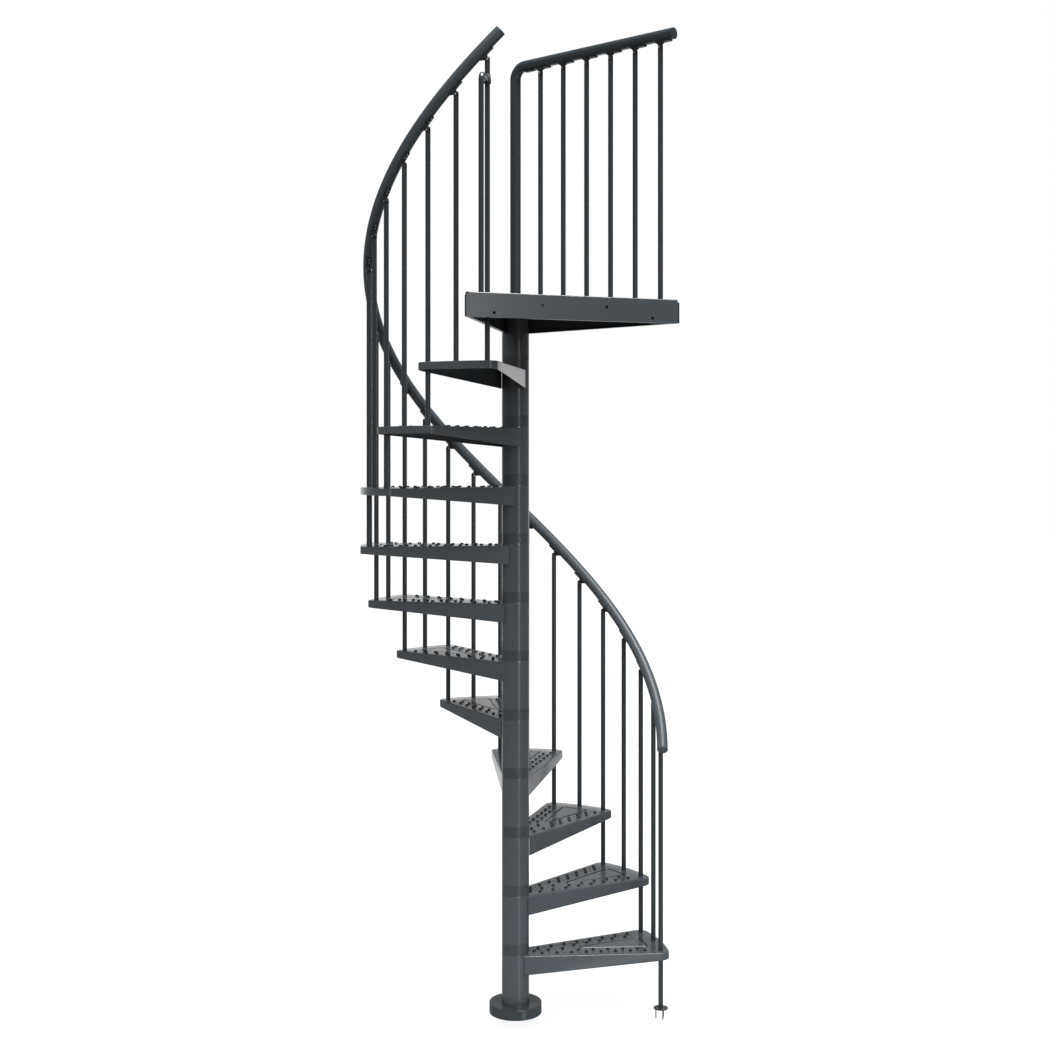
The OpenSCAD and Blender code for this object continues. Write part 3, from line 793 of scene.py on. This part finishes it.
def rounded_bar(build, place, length, width, height, r):
    """Bar along local Y from 0, centred in X, its face at z 0 and its body below."""
    rings = []
    for y, inset in ((0.0, r), (r * 0.3, r * 0.3), (r, 0.0), (length - r, 0.0),
                     (length - r * 0.3, r * 0.3), (length, r)):
        w, h = width / 2 - inset, height - inset
        ring = [(-w, y, 0.0), (w, y, 0.0), (w, y, -h + r)]
        bends = [(r * math.cos(math.pi / 6 * i), r * math.sin(math.pi / 6 * i))
                 for i in range(1, 4)]
        ring += [(w - r + c, y, -h + r - d) for c, d in bends]
        ring += [(-w + r - d, y, -h + r - c) for c, d in bends]
        ring += [(-w, y, -h + r)]
        rings.append(ring)
    build.rings(rings, place)


def bracket_body(build, place, pitch):
    """Saddle plate that hugs the rail, with a tongue down to the pivot."""
    foot = -REACH * math.tan(math.radians(pitch))
    body = place @ tilt(pitch) @ Matrix.Translation((0, foot, 0))
    rings = []
    for y, grow in ((-18.0, -1.2), (-17.4, -0.3), (-16.0, 0.0), (45.0, 0.0), (46.4, -0.3),
                    (47.0, -1.2)):
        ring = []
        for i in range(7):
            x = (10.0 + grow) * (1 - 2 * i / 6)
            ring.append((x, y, -math.sqrt(21.25 ** 2 - x * x)))
        for i in range(7):
            x = (10.0 + grow) * (2 * i / 6 - 1)
            ring.append((x, y, -25.3 - grow + 0.9 * abs(x / 10.0) ** 3))
        rings.append(ring)
    build.rings(rings, body)
    rings = []
    for z, half, thick in ((-24.6, 18.0, 9.0), (-27.0, 15.0, 8.0), (-30.0, 11.5, 6.0),
                           (-32.5, 9.0, 3.6), (-34.5, 8.0, 2.5)):
        ring = []
        for i in range(12):
            t = 2 * math.pi * i / 12
            ring.append((max(-thick, min(thick, 1.35 * thick * math.sin(t))),
                         half * math.cos(t), z))
        rings.append(ring)
    build.rings(rings, body)
    rings = []
    for x, r in ((-2.5, 7.4), (-1.9, 8.0), (1.9, 8.0), (2.5, 7.4)):
        rings.append([(x, r * math.cos(2 * math.pi * i / 24), -REACH + r * math.sin(
            2 * math.pi * i / 24)) for i in range(24)])
    build.rings(rings, body)
    return body


def rail_hardware():
    """Saddles, their screws, and the screw and nut through every pivot."""
    bodies, heads, dark, inner = Build(), Build(), Build(), Build()
    for place, pitch in baluster_places() + landing_places():
        body = bracket_body(bodies, place, pitch)
        for y in (11.0, 24.0, 39.0):
            down = body @ Matrix.Translation((0, y, -25.0)) @ Matrix.Rotation(math.pi, 4, "X")
            cross_head(dark, down, 4.2, 2.6)
        drop = REACH / math.cos(math.radians(pitch))
        out = place @ Matrix.Translation((9.5, 0, -drop)) @ Matrix.Rotation(
            math.pi / 2, 4, "Y")
        cross_head(heads, out, 4.0, 3.0)
        nut = place @ Matrix.Translation((-8.6, 0, -drop)) @ Matrix.Rotation(
            -math.pi / 2, 4, "Y")
        inner.lathe([(0.5, 0.0), (3.4, 0.0), (3.6, 0.3), (3.4, 1.4), (2.2, 1.8), (0.5, 1.8)], 20,
                    nut)
    put("saddle_brackets", as_mesh("saddle_brackets", bodies.points, bodies.faces, black_nylon),
        "rail_brackets", "landing_brackets")
    put("saddle_screws", as_mesh("saddle_screws", dark.points, dark.faces, pivot_zinc))
    heads.add(inner.points, inner.faces)
    put("pivot_screw_heads", as_mesh("pivot_screw_heads", heads.points, heads.faces, pivot_zinc),
        "pivot_screws")


rail_hardware()


def joint_plate():
    """Short plate with two screws below the bend of the landing rail."""
    build = Build()
    place = turned(LANDING_TURN, 51.0, 0, LANDING_RAIL_Z - 21.3) @ Matrix.Rotation(
        math.radians(-90), 4, "Z")
    rounded_bar(build, place, 49.0, 20.0, 3.2, 1.0)
    for y in (12.0, 36.0):
        cross_head(build, place @ Matrix.Translation((0, y, -3.0)) @ Matrix.Rotation(
            math.pi, 4, "X"), 4.2, 2.6)
    put("rail_joint_plate", as_mesh("rail_joint_plate", build.points, build.faces, black_nylon))


joint_plate()


# ---------------------------------------------------------------- bolts below the treads
def foot_bolts():
    build = Build()
    flip = Matrix.Rotation(math.pi, 4, "X")
    below = LANDING_Z - SHEET
    places = [turned(a, BALUSTER_R, 0, RISE * k - SHEET) for k in range(1, TREADS + 1)
              for a in (middle_angle(k), corner_angle(k + 1))]
    places += [turned(LANDING_TURN, spot, 0, below) for spot in LANDING_SPOTS]
    places.append(turned(270 - LANDING_HALF_ANGLE, BALUSTER_R + LANDING_PITCH, 0, below))
    for place in places:
        hex_head(build, place @ flip, 13.0, 5.3, 20.0)
    put("baluster_bolts", as_mesh("baluster_bolts", build.points, build.faces, dark_zinc))


foot_bolts()


# ---------------------------------------------------------------- gap tube clamp
def gap_clamp_parts():
    """Clamp on the top corner baluster and the collar that takes the gap tube's arm."""
    place = turned(270 - LANDING_HALF_ANGLE, BALUSTER_R, 0, LANDING_Z + 775.0)
    cast, dark = Build(), Build()
    cast.lathe([(9.8, -11.0), (13.5, -11.0), (13.6, -6.0), (12.9, 2.0), (11.9, 9.0),
                (10.8, 15.0), (10.2, 17.0), (9.8, 17.0)], 40, place, closed=True)
    dark.lathe([(9.8, -17.0), (12.8, -17.0), (13.4, -16.4), (13.4, -11.6), (12.8, -11.0),
                (9.8, -11.0)], 40, place, closed=True)
    arm = place @ Matrix.Translation((12.0, 0, -7.0)) @ Matrix.Rotation(math.pi / 2, 4, "Y")
    dark.lathe([(9.8, -2.0), (12.2, -2.0), (13.0, -1.0), (13.0, 5.0), (12.2, 6.0), (9.8, 6.0)],
               32, arm, closed=True)
    put("tube_clamp", as_mesh("tube_clamp", cast.points, cast.faces, cast_grey), "gap_clamp")
    put("tube_clamp_collar", as_mesh("tube_clamp_collar", dark.points, dark.faces, black_nylon))


gap_clamp_parts()


# ---------------------------------------------------------------- base
def cover_gap_ring():
    """Dark ring in the gap between the pole and its cover."""
    build = Build()
    build.lathe([(54.1, 36.0), (54.1, 40.6), (54.6, 41.0), (56.2, 41.0), (56.8, 40.4),
                 (56.8, 40.1), (55.9, 40.1), (55.9, 36.0)], 96, closed=True)
    put("cover_gap_ring", as_mesh("cover_gap_ring", build.points, build.faces, black_nylon))


cover_gap_ring()


# ---------------------------------------------------------------- floor foot
def floor_screws():
    """Three threaded screws through the foot plate."""
    build = Build()
    base = turned(corner_angle(1), BALUSTER_R) @ Matrix.Rotation(
        math.radians(-corner_angle(1)), 4, "Z")
    for i in range(3):
        place = base @ turned(30 + 120 * i, 19.0)
        profile = [(0.2, -43.0), (0.9, -40.0)]
        z = -38.0
        while z < -2.0:
            core = 1.9 if z > -34.0 else 1.9 - 0.25 * (-34.0 - z) * 0.6
            profile += [(core, z - 0.9), (core + 0.6, z), (core, z + 0.4)]
            z += 2.2
        profile += [(2.4, 0.0), (2.4, 3.0)]
        build.lathe(profile, 16, place)
        cross_head(build, place @ Matrix.Translation((0, 0, 3.0)), 4.5, 2.4)
    put("floor_screws", as_mesh("floor_screws", build.points, build.faces, pivot_zinc),
        "foot_screws")


floor_screws()


# ---------------------------------------------------------------- studio
def plane(name, size, location, material):
    mesh = bpy.data.meshes.new(name)
    half = size / 2
    mesh.from_pydata([(-half, -half, 0), (half, -half, 0), (half, half, 0), (-half, half, 0)],
                     [], [(0, 1, 2, 3)])
    mesh.materials.append(material)
    made = bpy.data.objects.new(name, mesh)
    made.location = location
    scene.collection.objects.link(made)
    return made


def floor_material():
    made, tree, shader = new_material("studio_floor")
    coords = tree.nodes.new("ShaderNodeTexCoord")
    reach = tree.nodes.new("ShaderNodeVectorMath")
    reach.operation = "LENGTH"
    tree.links.new(coords.outputs["Object"], reach.inputs[0])
    # Painted light: for light bouncing off it, the floor is pale near the pole and dark farther
    # out, a pool of light that brightens the stair's lower part.
    fade = tree.nodes.new("ShaderNodeMapRange")
    fade.interpolation_type = "SMOOTHSTEP"
    fade.inputs["From Min"].default_value = 0.6
    fade.inputs["From Max"].default_value = 2.6
    fade.inputs["To Min"].default_value = 0.95
    fade.inputs["To Max"].default_value = 0.12
    tree.links.new(reach.outputs["Value"], fade.inputs["Value"])
    tree.links.new(fade.outputs["Result"], shader.inputs["Base Color"])
    shader.inputs["Specular IOR Level"].default_value = 0.0
    shader.inputs["Roughness"].default_value = 0.9
    path = tree.nodes.new("ShaderNodeLightPath")
    seen = tree.nodes.new("ShaderNodeMath")
    seen.operation = "MAXIMUM"
    tree.links.new(path.outputs["Is Camera Ray"], seen.inputs[0])
    tree.links.new(path.outputs["Is Transmission Ray"], seen.inputs[1])
    glow = tree.nodes.new("ShaderNodeEmission")
    glow.inputs["Color"].default_value = (1, 1, 1, 1)
    glow.inputs["Strength"].default_value = 0.9
    pale = tree.nodes.new("ShaderNodeBsdfDiffuse")
    pale.inputs["Color"].default_value = (0.15, 0.15, 0.15, 1)
    both = tree.nodes.new("ShaderNodeAddShader")
    tree.links.new(glow.outputs[0], both.inputs[0])
    tree.links.new(pale.outputs[0], both.inputs[1])
    mix = tree.nodes.new("ShaderNodeMixShader")
    tree.links.new(seen.outputs[0], mix.inputs[0])
    side = tree.nodes.new("ShaderNodeVectorMath")
    side.operation = "NORMALIZE"
    tree.links.new(coords.outputs["Object"], side.inputs[0])
    along = tree.nodes.new("ShaderNodeVectorMath")
    along.operation = "DOT_PRODUCT"
    along.inputs[1].default_value = (-math.cos(bearing), -math.sin(bearing), 0.0)
    tree.links.new(side.outputs[0], along.inputs[0])
    behind = tree.nodes.new("ShaderNodeMapRange")
    behind.interpolation_type = "SMOOTHSTEP"
    behind.inputs["From Min"].default_value = 0.72
    behind.inputs["From Max"].default_value = 0.93
    behind.inputs["To Min"].default_value = 0.25
    behind.inputs["To Max"].default_value = 1.0
    tree.links.new(along.outputs["Value"], behind.inputs["Value"])
    towards = bearing + math.radians(31)
    across = tree.nodes.new("ShaderNodeVectorMath")
    across.operation = "DOT_PRODUCT"
    across.inputs[1].default_value = (math.cos(towards), math.sin(towards), 0.0)
    tree.links.new(side.outputs[0], across.inputs[0])
    stripe = tree.nodes.new("ShaderNodeMapRange")
    stripe.interpolation_type = "SMOOTHSTEP"
    stripe.inputs["From Min"].default_value = 0.9925
    stripe.inputs["From Max"].default_value = 0.9985
    stripe.inputs["To Min"].default_value = 0.0
    stripe.inputs["To Max"].default_value = 1.4
    tree.links.new(across.outputs["Value"], stripe.inputs["Value"])
    strength = tree.nodes.new("ShaderNodeMath")
    strength.operation = "ADD"
    tree.links.new(behind.outputs["Result"], strength.inputs[0])
    tree.links.new(stripe.outputs["Result"], strength.inputs[1])
    # Painted reflection: in glossy rays the floor glows white behind the object, with a bright
    # stripe that paints a highlight down the pole.
    mirror = tree.nodes.new("ShaderNodeEmission")
    tree.links.new(strength.outputs[0], mirror.inputs["Strength"])
    unseen = tree.nodes.new("ShaderNodeMixShader")
    tree.links.new(path.outputs["Is Glossy Ray"], unseen.inputs[0])
    tree.links.new(shader.outputs[0], unseen.inputs[1])
    tree.links.new(mirror.outputs[0], unseen.inputs[2])
    tree.links.new(unseen.outputs[0], mix.inputs[1])
    tree.links.new(both.outputs[0], mix.inputs[2])
    tree.links.new(mix.outputs[0], tree.nodes["Material Output"].inputs["Surface"])
    return made


plane("floor", 60, (0, 0, cad_low.z - 0.003), floor_material())


def lamp(name, size, power, location, target=(0, 0, 1.8)):
    data = bpy.data.lights.new(name, "AREA")
    data.shape = "RECTANGLE"
    data.size, data.size_y = size
    data.energy = power
    made = bpy.data.objects.new(name, data)
    made.location = location
    made.rotation_euler = (Vector(target) - Vector(location)).to_track_quat("-Z", "Y").to_euler()
    scene.collection.objects.link(made)
    return made


def around(distance, turn, height):
    """A place at that distance from the pole, turned from the camera's bearing."""
    a = bearing + math.radians(turn)
    return (distance * math.cos(a), distance * math.sin(a), height)


lamp("lamp_top", (3, 3), 850, around(1.5, 60, 8.0))
lamp("lamp_front", (0.9, 5), 44, around(8.0, 31, 2.0))


FRONT = (math.cos(bearing - math.radians(18)), math.sin(bearing - math.radians(18)), 0.0)


def studio_world():
    """White behind the object; the light on it falls off towards the camera and the floor."""
    made = bpy.data.worlds.new("studio")
    scene.world = made
    made.use_nodes = True
    tree = made.node_tree
    coords = tree.nodes.new("ShaderNodeTexCoord")

    def ramp(direction, low, high, dim, bright):
        along = tree.nodes.new("ShaderNodeVectorMath")
        along.operation = "DOT_PRODUCT"
        along.inputs[1].default_value = direction
        tree.links.new(coords.outputs["Generated"], along.inputs[0])
        spread = tree.nodes.new("ShaderNodeMapRange")
        spread.interpolation_type = "SMOOTHSTEP"
        spread.inputs["From Min"].default_value = low
        spread.inputs["From Max"].default_value = high
        spread.inputs["To Min"].default_value = dim
        spread.inputs["To Max"].default_value = bright
        tree.links.new(along.outputs["Value"], spread.inputs["Value"])
        return spread.outputs["Result"]

    def times(first, second):
        both = tree.nodes.new("ShaderNodeMath")
        both.operation = "MULTIPLY"
        tree.links.new(first, both.inputs[0])
        tree.links.new(second, both.inputs[1])
        return both.outputs[0]

    away = (-math.cos(bearing), -math.sin(bearing), 0.0)
    upward = ramp((0.0, 0.0, 1.0), -0.2, 0.6, 0.10, 0.85)
    sideways = ramp(FRONT, -0.6, 0.9, 0.45, 3.0)
    scattered = times(upward, sideways)
    behind = ramp(away, 0.72, 0.93, 0.25, 1.15)
    level = ramp((0.0, 0.0, 1.0), 0.06, 0.20, 1.0, 0.33)
    mirrored = times(behind, level)

    def background(strength):
        shade = tree.nodes.new("ShaderNodeBackground")
        shade.inputs["Color"].default_value = (1, 1, 1, 1)
        if isinstance(strength, float):
            shade.inputs["Strength"].default_value = strength
        else:
            tree.links.new(strength, shade.inputs["Strength"])
        return shade.outputs[0]

    path = tree.nodes.new("ShaderNodeLightPath")

    def choose(factor, no, yes):
        mix = tree.nodes.new("ShaderNodeMixShader")
        tree.links.new(factor, mix.inputs[0])
        tree.links.new(no, mix.inputs[1])
        tree.links.new(yes, mix.inputs[2])
        return mix.outputs[0]

    lit = choose(path.outputs["Is Glossy Ray"], background(scattered), background(mirrored))
    seen = tree.nodes.new("ShaderNodeMath")
    seen.operation = "MAXIMUM"
    tree.links.new(path.outputs["Is Camera Ray"], seen.inputs[0])
    tree.links.new(path.outputs["Is Transmission Ray"], seen.inputs[1])
    tree.links.new(choose(seen.outputs[0], lit, background(1.0)),
                   tree.nodes["World Output"].inputs["Surface"])


studio_world()

scene.view_settings.view_transform = "Standard"
